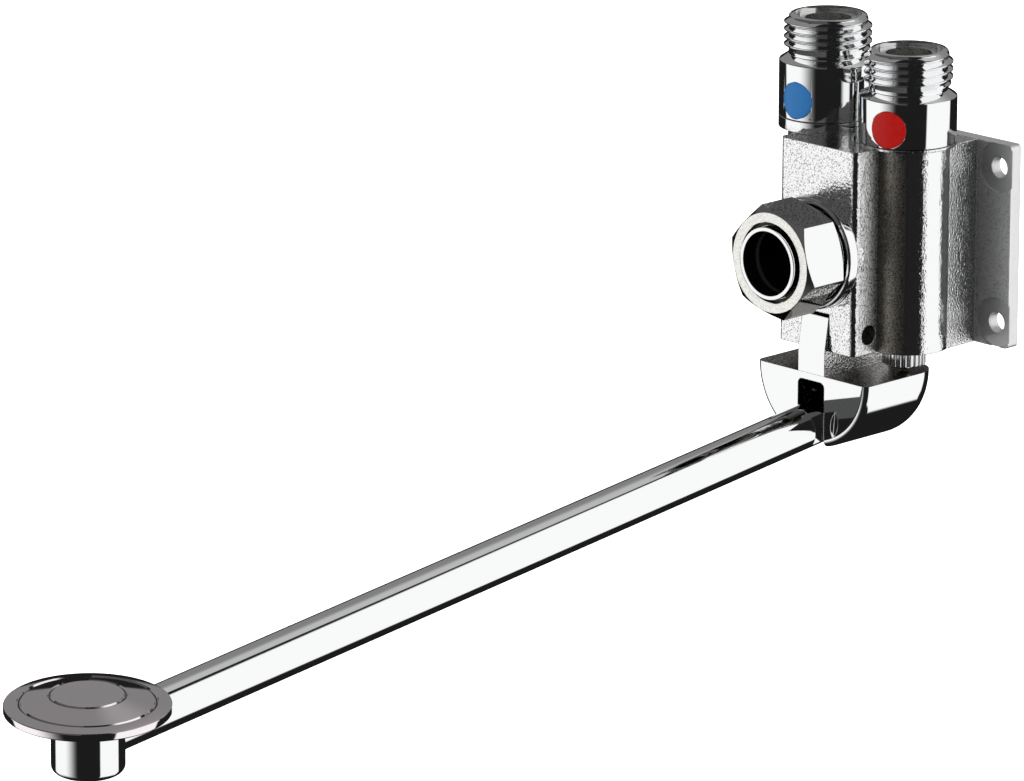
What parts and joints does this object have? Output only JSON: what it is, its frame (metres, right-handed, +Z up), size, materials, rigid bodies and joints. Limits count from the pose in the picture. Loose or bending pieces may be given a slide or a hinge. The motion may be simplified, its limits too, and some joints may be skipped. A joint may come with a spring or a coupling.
{
  "type": "foot-operated wall tap",
  "caption": "Wall-mounted tap whose pedal lever rocks a yoke that lifts a hot and a cold valve, with threaded inlets on top and a front outlet nut.",
  "frame": {"origin": "middle of the wall plate's back face", "axes": "+X to the right along the wall, -Y out of the wall towards the foot, +Z up"},
  "size_m": [0.0648, 0.2807, 0.1288],
  "materials": {
    "rough_cast_chrome": "chrome plate over sand-cast brass",
    "polished_chrome": "mirror-polished chrome plate",
    "turned_chrome": "fine concentric turning marks under chrome",
    "cold_blue": "glossy blue",
    "hot_red": "glossy red",
    "red_fibre": "vulcanised fibre",
    "strainer_mesh": "perforated stainless steel",
    "white_acetal": "white acetal",
    "orange_acetal": "orange acetal",
    "ivory_acetal": "ivory acetal",
    "spring_steel": "stainless spring wire",
    "stem_steel": "ground stainless steel",
    "black_steel": "blackened steel",
    "bare_brass": "machined brass",
    "black_rubber": "nitrile rubber"
  },
  "bodies": {
    "body": {"valve_body": "rough_cast_chrome", "cold_inlet_nipple": "polished_chrome", "hot_inlet_nipple": "polished_chrome", "cold_index_disc": "cold_blue", "hot_index_disc": "hot_red", "cold_nipple_washer": "red_fibre", "hot_nipple_washer": "red_fibre", "cold_strainer": "strainer_mesh", "hot_strainer": "strainer_mesh", "cold_check_housing": "white_acetal", "hot_check_housing": "white_acetal", "cold_check_spring": "spring_steel", "hot_check_spring": "spring_steel", "cold_valve_seat": "bare_brass", "hot_valve_seat": "bare_brass", "cold_return_spring": "spring_steel", "hot_return_spring": "spring_steel", "cold_gland_nut": "polished_chrome", "hot_gland_nut": "polished_chrome", "cold_stem_seal": "black_rubber", "hot_stem_seal": "black_rubber", "outlet_nut": "polished_chrome", "outlet_sleeve": "polished_chrome", "outlet_washer": "black_rubber", "yoke_pin": "black_steel"},
    "yoke": {"lever_yoke": "polished_chrome", "yoke_bush": "ivory_acetal", "rod_pin": "stem_steel"},
    "rod": {"lever_rod": "polished_chrome", "pedal_disc": "turned_chrome", "pedal_stub": "polished_chrome", "pedal_screw": "stem_steel"},
    "cold_valve": {"cold_valve_stem": "stem_steel", "cold_valve_washer": "black_rubber", "cold_washer_cap": "bare_brass"},
    "cold_check": {"cold_check_poppet": "orange_acetal"},
    "hot_valve": {"hot_valve_stem": "stem_steel", "hot_valve_washer": "black_rubber", "hot_washer_cap": "bare_brass"},
    "hot_check": {"hot_check_poppet": "orange_acetal"}
  },
  "joints": [
    {"name": "pedal_press", "type": "hinge", "parent": "body", "child": "yoke", "pos_m": [0, -0.0299, -0.0201], "axis": [1, 0, 0], "range_deg": [0, 6], "stiffness_Nm_per_rad": 5, "springref_deg": -6.88},
    {"name": "rod_lift", "type": "hinge", "parent": "yoke", "child": "rod", "pos_m": [0, -0.0245, -0.0414], "axis": [-1, 0, 0], "range_deg": [0, 20]},
    {"name": "cold_valve_lift", "type": "slide", "parent": "body", "child": "cold_valve", "axis": [0, 0, 1], "range_m": [0, 0.0013], "deforming": ["cold_return_spring"]},
    {"name": "cold_check_open", "type": "slide", "parent": "body", "child": "cold_check", "axis": [0, 0, -1], "range_m": [0, 0.002], "stiffness_N_per_m": 100, "springref_m": -0.004, "deforming": ["cold_check_spring"]},
    {"name": "hot_valve_lift", "type": "slide", "parent": "body", "child": "hot_valve", "axis": [0, 0, 1], "range_m": [0, 0.0013], "deforming": ["hot_return_spring"]},
    {"name": "hot_check_open", "type": "slide", "parent": "body", "child": "hot_check", "axis": [0, 0, -1], "range_m": [0, 0.002], "stiffness_N_per_m": 100, "springref_m": -0.004, "deforming": ["hot_check_spring"]}
  ],
  "couplings": [
    {"joint": "cold_valve_lift", "follows": "pedal_press", "m_per_rad": 0.0117},
    {"joint": "hot_valve_lift", "follows": "pedal_press", "m_per_rad": 0.0117}
  ]
}
